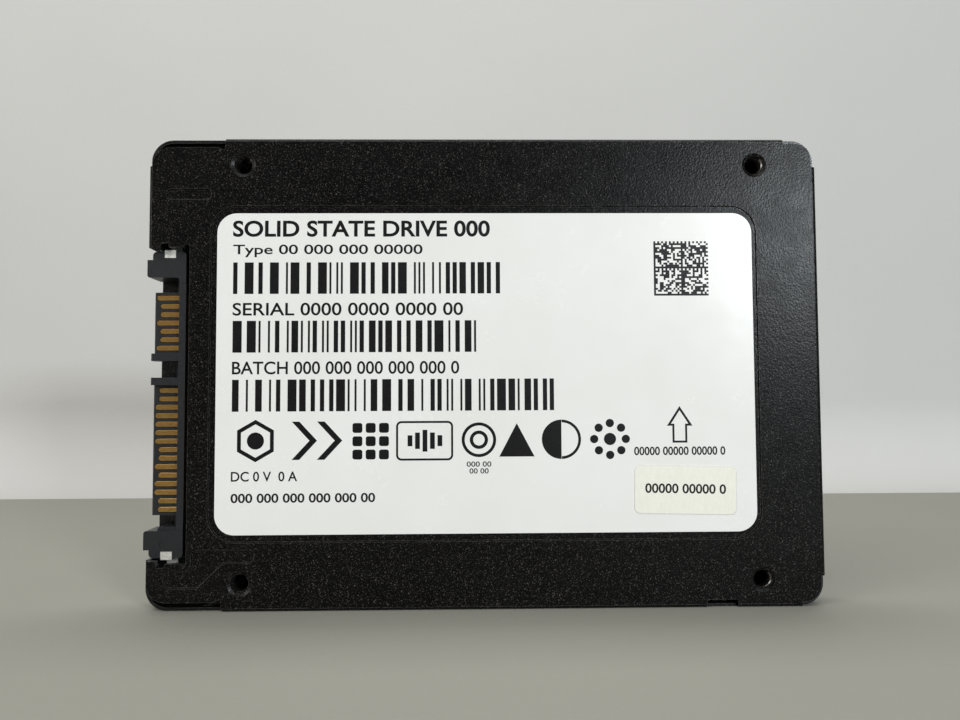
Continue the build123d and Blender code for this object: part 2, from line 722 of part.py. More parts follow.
def hold_down_tabs():
    """Two folded metal tabs that clamp the plug to the arms of the board."""
    seat = BOARD_FRONT - FIT_GAP
    crown_back = GUIDE_FACE + TAB_SHEET
    reach = TAB_SEAT_REACH[0] - 2 * GROOVE_CLEARANCE
    tabs = []
    for edge, outward in ((UPPER_GUIDE[2], 1), (LOWER_GUIDE[2], -1)):
        near = edge + outward * FIT_GAP
        far = near + outward * TAB_SHEET
        crown = sorted((edge - outward * reach, far))
        leg = sorted((near, far))
        foot = sorted((near, near + outward * TAB_FOOT))
        tab = block(*TAB, GUIDE_FACE, crown_back, *crown)
        tab += block(*TAB, GUIDE_FACE, seat, *leg)
        tab += block(*TAB, seat - TAB_SHEET, seat, *foot)
        tabs.append(tab)
    return Compound(children=tabs)


# ---------------------------------------------------------------- board
def circuit_board():
    left, right, low, high = BOARD
    plan = rect(left, right, low, high)
    plan += rect(BOARD_ARM_START, left + 1, low, BOARD_PLUG_GAP[0])
    plan += rect(BOARD_ARM_START, left + 1, BOARD_PLUG_GAP[1], high)
    plan -= rect(*BOARD_NOTCH, low, low + BOARD_NOTCH_DEPTH)
    plan -= rect(*BOARD_NOTCH, high - BOARD_NOTCH_DEPTH, high)
    for x, z in BOARD_SCREWS:
        plan -= disc(x, z, SCREW_CLEARANCE_RADIUS)
    return slab(plan, BOARD_FRONT, BOARD_BACK)


def package(x, z, length, width, height):
    """Moulded chip on a slightly larger carrier, with a dot at one corner."""
    front = BOARD_FRONT - height
    carrier = BOARD_FRONT - FIT_GAP - height / 4
    body = brick(x, z, length, width, height / 4 + FIT_GAP)
    left = x - length / 2
    top = z + width / 2
    inset = PACKAGE_INSET
    cap = rect(left + inset, left + length - inset, top - width + inset, top - inset)
    from_edge, radius, sunk = PIN_DOT
    dot = disc(left + from_edge, top - from_edge, radius)
    return body + slab(cap, front, carrier) - slab(dot, front - 1, front + sunk)


def brick(x, z, length, width, height):
    """Plain component body standing on the board."""
    back = BOARD_FRONT - FIT_GAP
    half = length / 2
    return block(x - half, x + half, BOARD_FRONT - height, back, z - width / 2, z + width / 2)


def two_terminal(x, z, length, width, height):
    """Chip component: a body between two slightly larger end caps."""
    cap = length / 4
    body = brick(x, z, length - cap, width - 2 * END_CAP_STEP, height - END_CAP_STEP)
    left = brick(x - length / 2 + cap / 2, z, cap, width, height)
    right = brick(x + length / 2 - cap / 2, z, cap, width, height)
    return body + left + right


def gull_wing(x, z, side):
    """One bent lead on one side of a chip."""
    back = BOARD_FRONT - FIT_GAP
    top = BOARD_FRONT - LEAD_LIFT - LEAD_SHEET
    low = z - LEAD_WIDTH / 2
    high = z + LEAD_WIDTH / 2
    inner = x + side * BOOT_FLASH_BODY[0] / 2
    knee = x + side * LEAD_KNEE
    bend = knee - side * LEAD_SHEET
    toe = x + side * LEAD_TOE
    lead = block(*sorted((inner, knee)), top, top + LEAD_SHEET, low, high)
    lead += block(*sorted((bend, knee)), top, back, low, high)
    return lead + block(*sorted((bend, toe)), back - LEAD_SHEET, back, low, high)


def leaded_chip(x, z):
    """Eight-lead memory chip with gull-wing leads along both long edges."""
    length, width, height, lift = BOOT_FLASH_BODY
    section = rect(x - length / 2, x + length / 2, z - width / 2, z + width / 2)
    body = slab(section, BOARD_FRONT - height, BOARD_FRONT - lift)
    for index in range(4):
        lead_z = z + (index - 1.5) * CONTACT_PITCH
        for side in (-1, 1):
            body += gull_wing(x, lead_z, side)
    return body


def controller_pad():
    x, z, length, width, height = CONTROLLER
    front = PAN_INNER + STEP + FIT_GAP
    back = BOARD_FRONT - height - FIT_GAP
    half_x = length / 2 - PAD_MARGIN
    half_z = width / 2 - PAD_MARGIN
    return block(x - half_x, x + half_x, front, back, z - half_z, z + half_z)


def flash_pad():
    """One strip of thermal pad over the four flash chips."""
    length, width, height = FLASH_SIZE
    front = PAN_INNER + STEP + FIT_GAP
    back = BOARD_FRONT - height - FIT_GAP
    half = length / 2 - PAD_MARGIN
    low = max(FLASH_Z[0] - width / 2 + PAD_MARGIN, RECESS[2] + PAD_MARGIN)
    high = min(FLASH_Z[-1] + width / 2 - PAD_MARGIN, RECESS[3] - PAD_MARGIN)
    return block(FLASH_X - half, FLASH_X + half, front, back, low, high)


def buck_regulators():
    return Compound(children=[package(REGULATOR_X, z, *REGULATOR_SIZE) for z in SUPPLY_Z])


def power_inductors():
    """Shielded power inductors with a round crown."""
    radius, rise = INDUCTOR_CROWN
    top = BOARD_FRONT - INDUCTOR_SIZE[2]
    coils = []
    for z in SUPPLY_Z:
        crown = slab(disc(INDUCTOR_X, z, radius), top - rise, top)
        coils.append(brick(INDUCTOR_X, z, *INDUCTOR_SIZE) + crown)
    return Compound(children=coils)


def tantalum_capacitors():
    bodies = [two_terminal(TANTALUM_X, z, *TANTALUM_SIZE) for z in TANTALUM_Z]
    return Compound(children=bodies)


def ceramic_capacitors():
    """Columns beside the flash chips, rows around the controller, four at the plug."""
    spots = [(PLUG_CERAMIC_X, z) for z in PLUG_CERAMIC_Z]
    for x in CERAMIC_COLUMNS:
        for z in FLASH_Z:
            spots += [(x, z + offset) for offset in CERAMIC_OFFSETS]
    for z in CERAMIC_ROWS:
        for index in range(CERAMIC_ROW_COUNT):
            spots.append((CERAMIC_ROW_START + index * CERAMIC_ROW_PITCH, z))
    return Compound(children=[two_terminal(x, z, *CERAMIC_SIZE) for x, z in spots])


def chip_resistors():
    bodies = []
    for x, start, count in RESISTOR_COLUMNS:
        for index in range(count):
            bodies.append(two_terminal(x, start + index * RESISTOR_PITCH, *RESISTOR_SIZE))
    return Compound(children=bodies)


def board_screws():
    """Pan-head screws with a cross recess."""
    seat = BOARD_FRONT - FIT_GAP
    top = seat - SCREW_HEAD_HEIGHT
    half = CROSS_WIDTH / 2
    screws = []
    for x, z in BOARD_SCREWS:
        head = slab(disc(x, z, SCREW_HEAD_RADIUS), top, seat)
        rim = head.faces().sort_by(Axis.Y)[0].edges()
        head = chamfer(rim, SCREW_HEAD_BEVEL)
        head += slab(disc(x, z, SCREW_RADIUS), seat, SCREW_END)
        cross = rect(x - CROSS_REACH, x + CROSS_REACH, z - half, z + half)
        cross += rect(x - half, x + half, z - CROSS_REACH, z + CROSS_REACH)
        screws.append(head - slab(cross, top - 1, top + CROSS_DEPTH))
    return Compound(children=screws)


def build_all():
    signal, power = contact_rows()
    export("base_pan", base_pan())
    export("top_cover", top_cover())
    export("rating_label", rating_label())
    export("origin_sticker", origin_sticker())
    export("connector_housing", connector_housing())
    export("signal_contacts", contact_set(signal))
    export("power_contacts", contact_set(power))
    export("hold_down_tabs", hold_down_tabs())
    export("circuit_board", circuit_board())
    export("controller_chip", package(*CONTROLLER))
    export("memory_chip", package(*MEMORY_BUFFER))
    for index, z in enumerate(FLASH_Z):
        export("flash_chip_" + str(index + 1), package(FLASH_X, z, *FLASH_SIZE))
    export("boot_flash_chip", leaded_chip(*BOOT_FLASH))
    export("power_chip", package(*POWER_CHIP))
    export("buck_regulators", buck_regulators())
    export("power_inductors", power_inductors())
    export("crystal", brick(*CRYSTAL))
    export("tantalum_capacitors", tantalum_capacitors())
    export("ceramic_capacitors", ceramic_capacitors())
    export("chip_resistors", chip_resistors())
    export("input_fuse", two_terminal(*INPUT_FUSE))
    export("surge_diode", two_terminal(*SURGE_DIODE))
    export("controller_pad", controller_pad())
    export("flash_pad", flash_pad())
    export("board_screws", board_screws())


os.makedirs("parts", exist_ok=True)
build_all()
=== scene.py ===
import json
import math
import random

import bmesh
import bpy
from mathutils import Euler, Matrix, Vector


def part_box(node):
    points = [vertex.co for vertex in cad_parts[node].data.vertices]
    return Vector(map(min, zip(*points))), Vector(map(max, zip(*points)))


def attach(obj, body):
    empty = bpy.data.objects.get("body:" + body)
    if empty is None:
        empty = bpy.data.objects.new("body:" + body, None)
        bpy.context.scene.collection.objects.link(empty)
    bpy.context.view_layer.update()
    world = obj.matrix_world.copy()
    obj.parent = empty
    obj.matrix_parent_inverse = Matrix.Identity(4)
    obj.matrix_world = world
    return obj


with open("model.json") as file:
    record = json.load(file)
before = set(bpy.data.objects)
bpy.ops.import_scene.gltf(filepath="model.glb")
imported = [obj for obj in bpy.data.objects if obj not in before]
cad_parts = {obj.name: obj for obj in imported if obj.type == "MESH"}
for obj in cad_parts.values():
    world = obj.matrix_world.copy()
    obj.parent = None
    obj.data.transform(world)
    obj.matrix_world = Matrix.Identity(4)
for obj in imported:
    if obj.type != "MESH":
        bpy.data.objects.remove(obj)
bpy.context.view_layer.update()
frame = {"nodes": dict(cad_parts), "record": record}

# Looks for a 2.5 inch solid state drive that stands on one long side.
# Metres throughout; X along the drive from the plug end, -Y the mounting face, Z up.

MM = 0.001
BODY = "root"

scene = bpy.context.scene
nodes = frame["nodes"]
mounts = {mount["name"]: mount for mount in frame["record"]["mounts"]}
case_low, case_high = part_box("base_pan")
label_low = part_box("rating_label")[0]
sticker_low, sticker_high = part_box("origin_sticker")
FACE_Y = case_low.y


# ---------------------------------------------------------------- camera
CAMERA_REACH = 117.5 * MM
CAMERA_SIDE = -3.1 * MM
CAMERA_DROP = -4.27 * MM
CAMERA_YAW = -1.08
CAMERA_PITCH = 2.85
CAMERA_ROLL = -0.28
CAMERA_LENS = 29.8


def make_camera():
    """A close, nearly square-on view of the label face."""
    data = bpy.data.cameras.new("camera")
    data.lens = CAMERA_LENS
    data.sensor_width = 36.0
    data.clip_start = 0.005
    data.clip_end = 20.0
    camera = bpy.data.objects.new("camera", data)
    scene.collection.objects.link(camera)
    middle = (case_low + case_high) / 2
    place = Vector((middle.x + CAMERA_SIDE, FACE_Y - CAMERA_REACH, middle.z + CAMERA_DROP))
    pitch = Euler((math.radians(90 + CAMERA_PITCH), 0, math.radians(CAMERA_YAW))).to_matrix()
    roll = Matrix.Rotation(math.radians(CAMERA_ROLL), 3, "Z")
    camera.matrix_world = Matrix.Translation(place) @ (pitch @ roll).to_4x4()
    scene.camera = camera


# ---------------------------------------------------------------- stage and light
FLOOR_REACH = 1.6
BACKDROP_START = 0.134
BACKDROP_HEIGHT = 0.3
SWEEP_RADIUS = 0.03
SWEEP_STEPS = 16


def make_sheet(name, profile, paint):
    """Wide sheet with the same Y-Z profile all along X."""
    mesh = bmesh.new()
    left, right = [[mesh.verts.new((x, y, z)) for y, z in profile] for x in (-FLOOR_REACH, FLOOR_REACH)]
    for index in range(len(profile) - 1):
        mesh.faces.new((left[index], right[index], right[index + 1], left[index + 1]))
    finish_mesh(mesh, name, paint, smooth=True)


def make_stage(floor_finish, wall_finish):
    """Pale floor, and behind it a paler backdrop that curves up."""
    make_sheet("studio_floor", [(-FLOOR_REACH, 0.0), (BACKDROP_START, 0.0)], floor_finish)
    sweep = []
    for step in range(SWEEP_STEPS + 1):
        turn = math.pi / 2 * step / SWEEP_STEPS
        y = BACKDROP_START + SWEEP_RADIUS * math.sin(turn)
        sweep.append((y, SWEEP_RADIUS * (1 - math.cos(turn))))
    sweep.append((sweep[-1][0], BACKDROP_HEIGHT))
    make_sheet("studio_backdrop", sweep, wall_finish)


def area_light(name, place, aim, width, height, watts, colour):
    data = bpy.data.lights.new(name, "AREA")
    data.shape = "RECTANGLE"
    data.size = width
    data.size_y = height
    data.energy = watts
    data.color = colour
    light = bpy.data.objects.new(name, data)
    scene.collection.objects.link(light)
    light.location = place
    light.rotation_euler = (Vector(aim) - Vector(place)).to_track_quat("-Z", "Y").to_euler()


def make_lights():
    """Soft overhead key, a window-like sheen from the right, a fill from the left and a strip behind."""
    aim = (case_low + case_high) / 2
    area_light("key_light", (-0.1, -0.36, 0.56), aim, 0.6, 0.4, 2.1, (1.0, 0.98, 0.955))
    area_light("sheen_light", (0.31, -0.5, 0.172), aim, 0.12, 0.05, 2.2, (0.88, 0.95, 1.0))
    area_light("fill_light", (-0.45, -0.3, 0.2), aim, 0.2, 0.2, 0.95, (1.0, 0.98, 0.95))
    area_light("rear_light", (0.0, 0.1, 0.5), aim, 0.5, 0.12, 1.0, (1.0, 1.0, 1.0))
    world = bpy.data.worlds.new("studio")
    world.use_nodes = True
    sky = world.node_tree.nodes["Background"]
    sky.inputs["Color"].default_value = (0.8, 0.82, 0.85, 1)
    sky.inputs["Strength"].default_value = 0.11
    scene.world = world


# ---------------------------------------------------------------- mesh helpers
def finish_mesh(mesh, name, paint, smooth=False):
    """Turn a bmesh into a linked object with one material."""
    bmesh.ops.recalc_face_normals(mesh, faces=mesh.faces[:])
    data = bpy.data.meshes.new(name)
    mesh.to_mesh(data)
    mesh.free()
    data.materials.append(paint)
    if smooth:
        data.shade_smooth()
    piece = bpy.data.objects.new(name, data)
    scene.collection.objects.link(piece)
    return piece


def fasten(piece):
    """The piece rides on the drive; its ink or bare metal is not a finish of the record."""
    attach(piece, BODY)


def add_plate(mesh, place, left, low, width, height):
    """Thin rectangular plate of ink, place turns sheet millimetres into the row frame."""
    corners = [(left, low), (left + width, low), (left + width, low + height), (left, low + height)]
    rings = [[mesh.verts.new(place(x, z, lift)) for x, z in corners] for lift in (0, 1)]
    base, top = rings
    mesh.faces.new(top)
    mesh.faces.new(base[::-1])
    for index in range(4):
        after = (index + 1) % 4
        mesh.faces.new((base[index], base[after], top[after], top[index]))


def add_outline(mesh, place, outlines):
    """Flat ink shape from closed outlines in millimetres; inner outlines are holes."""
    curve = bpy.data.curves.new("outline", "CURVE")
    curve.dimensions = "2D"
    curve.fill_mode = "BOTH"
    curve.extrude = 0.5
    for outline in outlines:
        spline = curve.splines.new("POLY")
        spline.points.add(len(outline) - 1)
        for point, (x, z) in zip(spline.points, outline):
            point.co = (x, z, 0, 1)
        spline.use_cyclic_u = True
    add_curve(mesh, place, curve, Matrix.Identity(3))


def add_curve(mesh, place, curve, stretch):
    """Bring a flat curve of unit thickness into the mesh as solid ink."""
    holder = bpy.data.objects.new("outline", curve)
    scene.collection.objects.link(holder)
    graph = bpy.context.evaluated_depsgraph_get()
    data = bpy.data.meshes.new_from_object(holder.evaluated_get(graph))
    bpy.data.objects.remove(holder)
    bpy.data.curves.remove(curve)
    for vertex in data.vertices:
        flat = stretch @ Vector((vertex.co.x, vertex.co.y, 1))
        vertex.co = place(flat.x, flat.y, vertex.co.z + 0.5)
    part = bmesh.new()
    part.from_mesh(data)
    bmesh.ops.remove_doubles(part, verts=part.verts[:], dist=1e-7)
    part.to_mesh(data)
    part.free()
    mesh.from_mesh(data)
    bpy.data.meshes.remove(data)


def add_words(mesh, place, words, left, low, width, height, weight=0.0):
    """Lettering stretched to fill a box, from the built-in sans face."""
    curve = bpy.data.curves.new("words", "FONT")
    curve.body = words
    curve.offset = weight
    curve.extrude = 0.5
    curve.resolution_u = 5
    probe = bpy.data.objects.new("probe", curve)
    scene.collection.objects.link(probe)
    graph = bpy.context.evaluated_depsgraph_get()
    box = [Vector(corner) for corner in probe.evaluated_get(graph).bound_box]
    bpy.data.objects.remove(probe)
    first = Vector((min(c.x for c in box), min(c.y for c in box)))
    last = Vector((max(c.x for c in box), max(c.y for c in box)))
    across = width / (last.x - first.x)
    up = height / (last.y - first.y)
    stretch = Matrix(((across, 0, left - first.x * across), (0, up, low - first.y * up), (0, 0, 1)))
    add_curve(mesh, place, curve, stretch)


# ---------------------------------------------------------------- outlines in millimetres
def ring_points(x, z, radius, start=0.0, end=360.0, steps=40):
    points = []
    for step in range(steps + (0 if end - start >= 360 else 1)):
        turn = math.radians(start + (end - start) * step / steps)
        points.append((x + radius * math.cos(turn), z + radius * math.sin(turn)))
    return points


def arc_band(x, z, radius, band, start, end):
    outer = ring_points(x, z, radius, start, end)
    inner = ring_points(x, z, radius - band, start, end)
    return [outer + inner[::-1]]


def soft_box(left, low, width, height, radius):
    points = []
    right = left + width
    top = low + height
    corners = (
        (right - radius, top - radius, 0),
        (left + radius, top - radius, 90),
        (left + radius, low + radius, 180),
        (right - radius, low + radius, 270),
    )
    for x, z, start in corners:
        points += ring_points(x, z, radius, start, start + 90, 8)
    return points


def box_band(left, low, width, height, radius, band):
    inner = soft_box(left + band, low + band, width - 2 * band, height - 2 * band, radius - band)
    return [soft_box(left, low, width, height, radius), inner]


# ---------------------------------------------------------------- label print
INK = 0.012 * MM
BAR_UNIT = 0.34
HEADING_WEIGHT = 0.024
LINE_WEIGHT = 0.012
SMALL_WEIGHT = 0.02
STICKER_TURN = -1.2


def sheet_place(low, face_y, turn=0.0, centre=(0.0, 0.0)):
    """Turns millimetres on a paper into the row frame, ink rising towards -Y."""
    turned = Matrix.Rotation(math.radians(turn), 2)

    def place(x, z, lift):
        flat = turned @ Vector((x - centre[0], z - centre[1])) + Vector(centre)
        return Vector((low.x + flat.x * MM, face_y - lift * INK, low.z + flat.y * MM))

    return place


def bar_row(mesh, place, left, low, width, height, seed):
    """Random upright bars of one to four units, with gaps of the same."""
    dice = random.Random(seed)
    runs = []
    total = 0
    while total < width / BAR_UNIT - 4:
        run = dice.choice((1, 1, 1, 2, 2, 3, 4))
        gap = dice.choice((1, 1, 2, 2, 3))
        runs.append((run, gap))
        total += run + gap
    last = dice.choice((1, 2))
    unit = width / (total + last)
    x = left
    for run, gap in runs + [(last, 0)]:
        add_plate(mesh, place, x, low, (run - 0.12) * unit, height)
        x += (run + gap) * unit


def code_square(mesh, place, left, low, size, cells, seed):
    """Random square code with a solid frame on two sides of each quarter."""
    dice = random.Random(seed)
    step = size / cells
    half = cells // 2
    for row in range(cells):
        run_start = None
        for column in range(cells + 1):
            dark = column < cells and code_cell(dice, row % half, column % half, half)
            if dark and run_start is None:
                run_start = column
            if not dark and run_start is not None:
                width = (column - run_start) * step
                add_plate(mesh, place, left + run_start * step, low + row * step, width, step * 0.985)
                run_start = None


def code_cell(dice, row, column, half):
    if row == 0 or column == 0:
        return True
    if row == half - 1:
        return column % 2 == 0
    if column == half - 1:
        return row % 2 == 0
    return dice.random() < 0.56


MARGIN = 2.4
BAR_HEIGHT = 4.7
BAR_FOOT = 18.0
BAR_PITCH = 8.7
CAPTION_RISE = 5.5
CAPTION_HEIGHT = 1.85
CODE_SIZE = 8.2
CODE_CELLS = 28

# From the foot up: caption over the row, its width, the bars' width and their seed.
BAR_ROWS = (
    ("BATCH 000 000 000 000 000 0", 33.4, 47.5, 37),
    ("SERIAL 0000 0000 0000 00", 34.0, 36.0, 23),
    ("Type 00 000 000 00000", 28.0, 39.6, 11),
)


def label_print(ink):
    """Everything printed on the label, all of it generic."""
    mesh = bmesh.new()
    place = sheet_place(label_low, label_low.y)
    add_words(mesh, place, "SOLID STATE DRIVE 000", MARGIN, 44.0, 38.0, 2.3, HEADING_WEIGHT)
    for row, (caption, caption_width, bar_width, seed) in enumerate(BAR_ROWS):
        foot = BAR_FOOT + BAR_PITCH * row
        head = foot + CAPTION_RISE
        bar_row(mesh, place, MARGIN, foot, bar_width, BAR_HEIGHT, seed)
        add_words(mesh, place, caption, MARGIN, head, caption_width, CAPTION_HEIGHT, LINE_WEIGHT)
    code_square(mesh, place, 65.0, 35.0, CODE_SIZE, CODE_CELLS, seed=5)
    generic_marks(mesh, place)
    add_words(mesh, place, "DC 0 V  0 A", MARGIN, 7.8, 9.6, 1.4, LINE_WEIGHT)
    add_words(mesh, place, "000 000 000 000 000 00", MARGIN, 4.7, 21.0, 1.3, SMALL_WEIGHT)
    add_words(mesh, place, "00000 00000 00000 0", 61.7, 11.3, 13.5, 1.2, SMALL_WEIGHT)
    fasten(finish_mesh(mesh, "label_print", ink))


MARK_FOOT = 10.9
MARK_MIDDLE = MARK_FOOT + 2.8
HEXAGON_X = 5.9
CHEVRON_LEFTS = (11.2, 14.9)
GRID_LEFT = 20.1
GRID_PITCH = 1.95
GRID_CELL = 1.45
FRAME_LEFT = 26.5
RINGS_X = 38.7
TRIANGLE_X = 44.3
HALF_DISC_X = 50.9
HALF_DISC_RADIUS = 2.9
DOTS_X = 58.1
DOTS = 8
ARROW_X = 68.5


def generic_marks(mesh, place):
    """A row of plain geometric marks along the foot of the label."""
    hexagon_mark(mesh, place)
    chevron_marks(mesh, place)
    grid_mark(mesh, place)
    frame_mark(mesh, place)
    rings_mark(mesh, place)
    triangle_mark(mesh, place)
    half_disc_mark(mesh, place)
    dots_mark(mesh, place)
    arrow_mark(mesh, place)


def hexagon_mark(mesh, place):
    outer, inner = [ring_points(HEXAGON_X, MARK_MIDDLE, radius, 30, 330, 5) for radius in (3.1, 2.45)]
    add_outline(mesh, place, [outer, inner])
    add_outline(mesh, place, [ring_points(HEXAGON_X, MARK_MIDDLE, 1.25)])


def chevron_marks(mesh, place):
    top = MARK_FOOT + 5.6
    for left in CHEVRON_LEFTS:
        chevron = [(left, MARK_FOOT), (left + 1.1, MARK_FOOT), (left + 3.7, MARK_MIDDLE)]
        chevron += [(left + 1.1, top), (left, top), (left + 2.6, MARK_MIDDLE)]
        add_outline(mesh, place, [chevron])


def grid_mark(mesh, place):
    for column in range(3):
        for row in range(3):
            left = GRID_LEFT + column * GRID_PITCH
            low = MARK_FOOT + row * GRID_PITCH
            add_outline(mesh, place, [soft_box(left, low, GRID_CELL, GRID_CELL, 0.35)])


def frame_mark(mesh, place):
    """Five short bars in a rounded frame."""
    add_outline(mesh, place, box_band(FRAME_LEFT, MARK_FOOT - 0.2, 8.4, 5.8, 0.8, 0.3))
    for index, height in enumerate((1.6, 2.4, 3.2, 2.4, 1.6)):
        left = FRAME_LEFT + 1.7 + index * 1.1
        add_plate(mesh, place, left, MARK_MIDDLE - 0.1 - height / 2, 0.7, height)


def rings_mark(mesh, place):
    """Two rings, one in the other, over two small lines of figures."""
    for outer, inner in ((2.55, 2.1), (1.35, 0.85)):
        rings = [ring_points(RINGS_X, MARK_MIDDLE, radius) for radius in (outer, inner)]
        add_outline(mesh, place, rings)
    add_words(mesh, place, "000 00", RINGS_X - 1.8, 9.75, 3.6, 0.75, LINE_WEIGHT)
    add_words(mesh, place, "00 00", RINGS_X - 1.4, 8.75, 2.8, 0.75, LINE_WEIGHT)


def triangle_mark(mesh, place):
    foot = MARK_FOOT + 0.3
    triangle = [(TRIANGLE_X - 2.6, foot), (TRIANGLE_X + 2.6, foot), (TRIANGLE_X, foot + 4.9)]
    add_outline(mesh, place, [triangle])


def half_disc_mark(mesh, place):
    add_outline(mesh, place, [ring_points(HALF_DISC_X, MARK_MIDDLE, HALF_DISC_RADIUS, 90, 270, 30)])
    add_outline(mesh, place, arc_band(HALF_DISC_X, MARK_MIDDLE, HALF_DISC_RADIUS, 0.4, -89, 89))


def dots_mark(mesh, place):
    for index in range(DOTS):
        turn = 2 * math.pi * index / DOTS
        x = DOTS_X + 2.35 * math.cos(turn)
        z = MARK_MIDDLE + 2.35 * math.sin(turn)
        add_outline(mesh, place, [ring_points(x, z, 0.62, steps=16)])
    add_outline(mesh, place, [ring_points(DOTS_X, MARK_MIDDLE, 0.9)])


def arrow_mark(mesh, place):
    """Upright arrow in outline."""
    outer = arrow_points(1.1, 1.9, 13.1, 15.6, 18.5)
    inner = arrow_points(0.8, 1.3, 13.4, 15.9, 17.9)
    add_outline(mesh, place, [outer, inner])


def arrow_points(shaft, head, foot, neck, tip):
    right = [(shaft, foot), (shaft, neck), (head, neck), (0, tip)]
    left = [(-head, neck), (-shaft, neck), (-shaft, foot)]
    return [(ARROW_X + x, z) for x, z in right + left]


def sticker_print(ink):
    """One plain row of figures on the small sticker."""
    mesh = bmesh.new()
    width = (sticker_high.x - sticker_low.x) / MM
    height = (sticker_high.z - sticker_low.z) / MM
    place = sheet_place(sticker_low, sticker_low.y, STICKER_TURN, (width / 2, height / 2))
    add_words(mesh, place, "00000 00000 0", width / 2 - 5.95, height / 2 - 0.5, 11.9, 1.35, SMALL_WEIGHT)
    fasten(finish_mesh(mesh, "sticker_print", ink))


# ---------------------------------------------------------------- screw threads
THREAD_PITCH = 0.5 * MM
THREAD_CREST = 0.07 * MM
THREAD_START = 0.2 * MM
THREAD_DEPTH = 2.4 * MM
THREAD_STEPS = 32
THREAD_SINK = 0.02 * MM
THROAT = ((0.0, 1.84), (0.2, 1.42), (0.45, 1.25), (2.5, 1.25))


def hole_places():
    """Mouth and inward direction of every screw hole, from the record's mounts."""
    places = []
    for name in ("face_screw_holes", "lower_side_screw_holes", "upper_side_screw_holes"):
        mount = mounts[name]
        middle = Vector(mount["pos_m"])
        inward = -Vector(mount["axis"])
        half_x = mount["dims"]["spacing_x_mm"] * MM / 2
        half_z = (mount["dims"].get("spacing_y_mm") or 0) * MM / 2
        radius = mount["dims"]["hole_r_mm"] * MM
        for side in (-1, 1):
            for row in (-1, 1) if half_z else (0,):
                places.append((middle + Vector((side * half_x, 0, row * half_z)), inward, radius))
    return places


def throat_radius(depth):
    """Radius of a screw hole's wall at one depth below its mouth."""
    for (upper, wide), (lower, narrow) in zip(THROAT, THROAT[1:]):
        if depth <= lower * MM:
            share = (depth / MM - upper) / (lower - upper)
            return (wide + (narrow - wide) * share) * MM
    return THROAT[-1][1] * MM


def add_thread(mesh, mouth, inward, radius):
    """Helical ridge inside one hole, of wedge section with flat ends."""
    across = inward.orthogonal().normalized()
    other = inward.cross(across)
    turns = (THREAD_DEPTH - THREAD_START) / THREAD_PITCH - 1
    half = THREAD_PITCH * 0.4
    crest = radius - THREAD_CREST
    rings = []
    for step in range(int(turns * THREAD_STEPS) + 1):
        turn = 2 * math.pi * step / THREAD_STEPS
        middle = THREAD_START + half + THREAD_PITCH * step / THREAD_STEPS
        spoke = across * math.cos(turn) + other * math.sin(turn)
        ring = []
        for depth, lift in ((middle - half, 0.0), (middle, 1.0), (middle + half, 0.0)):
            wall = throat_radius(depth) + THREAD_SINK
            reach = wall + (crest - wall) * lift
            ring.append(mesh.verts.new(mouth + inward * depth + spoke * reach))
        rings.append(ring)
    for ring, after in zip(rings, rings[1:]):
        for index in range(3):
            nxt = (index + 1) % 3
            mesh.faces.new((ring[index], ring[nxt], after[nxt], after[index]))
    mesh.faces.new(rings[0][::-1])
    mesh.faces.new(rings[-1])


def screw_threads(metal):
    mesh = bmesh.new()
    for mouth, inward, radius in hole_places():
        add_thread(mesh, mouth, inward, radius)
    fasten(finish_mesh(mesh, "screw_threads", metal))


# ---------------------------------------------------------------- material helpers
def new_paint(name):
    paint = bpy.data.materials.new(name)
    paint.use_nodes = True
    tree = paint.node_tree
    return paint, tree, tree.nodes["Principled BSDF"]


def put(tree, kind, inputs=None, **settings):
    """Add a node, set its properties, then set or link its inputs."""
    item = tree.nodes.new(kind)
    for key, value in settings.items():
        setattr(item, key, value)
    for key, value in (inputs or {}).items():
        if isinstance(value, bpy.types.NodeSocket):
            tree.links.new(value, item.inputs[key])
        else:
            item.inputs[key].default_value = value
    return item


def place_of(tree, stretch=(1, 1, 1), turn=(0, 0, 0)):
    """Object coordinates in millimetres, optionally stretched and turned."""
    inputs = {
        "Vector": put(tree, "ShaderNodeTexCoord").outputs["Object"],
        "Scale": [1 / MM * s for s in stretch],
        "Rotation": [math.radians(t) for t in turn],
    }
    return put(tree, "ShaderNodeMapping", inputs).outputs["Vector"]


def noise(tree, vector, scale, detail=2.0, roughness=0.5, distortion=0.0):
    """Noise with features about 1 / scale millimetres across."""
    inputs = {
        "Vector": vector,
        "Scale": scale,
        "Detail": detail,
        "Roughness": roughness,
        "Distortion": distortion,
    }
    return put(tree, "ShaderNodeTexNoise", inputs).outputs["Fac"]


def ramp(tree, factor, stops):
    """Colour ramp from a list of (position, grey or colour)."""
    item = put(tree, "ShaderNodeValToRGB", {"Fac": factor})
    elements = item.color_ramp.elements
    while len(elements) < len(stops):
        elements.new(0.5)
    for element, (position, value) in zip(elements, stops):
        element.position = position
        element.color = (value, value, value, 1) if isinstance(value, (int, float)) else (*value, 1)
    return item.outputs["Color"]


def blend(tree, factor, first, second):
    """Colour mix of two colours or sockets."""
    item = put(tree, "ShaderNodeMix", data_type="RGBA")
    for index, value in ((0, factor), (6, first), (7, second)):
        if isinstance(value, bpy.types.NodeSocket):
            tree.links.new(value, item.inputs[index])
        elif index:
            item.inputs[index].default_value = (*value, 1)
        else:
            item.inputs[index].default_value = value
    return item.outputs[2]


def multiply(tree, first, second):
    return put(tree, "ShaderNodeMath", {0: first, 1: second}, operation="MULTIPLY").outputs[0]


def bump(tree, height, distance_mm, under=None):
    item = put(tree, "ShaderNodeBump", {"Height": height, "Distance": distance_mm * MM, "Strength": 1.0})
    if under is not None:
        tree.links.new(under, item.inputs["Normal"])
    return item.outputs["Normal"]


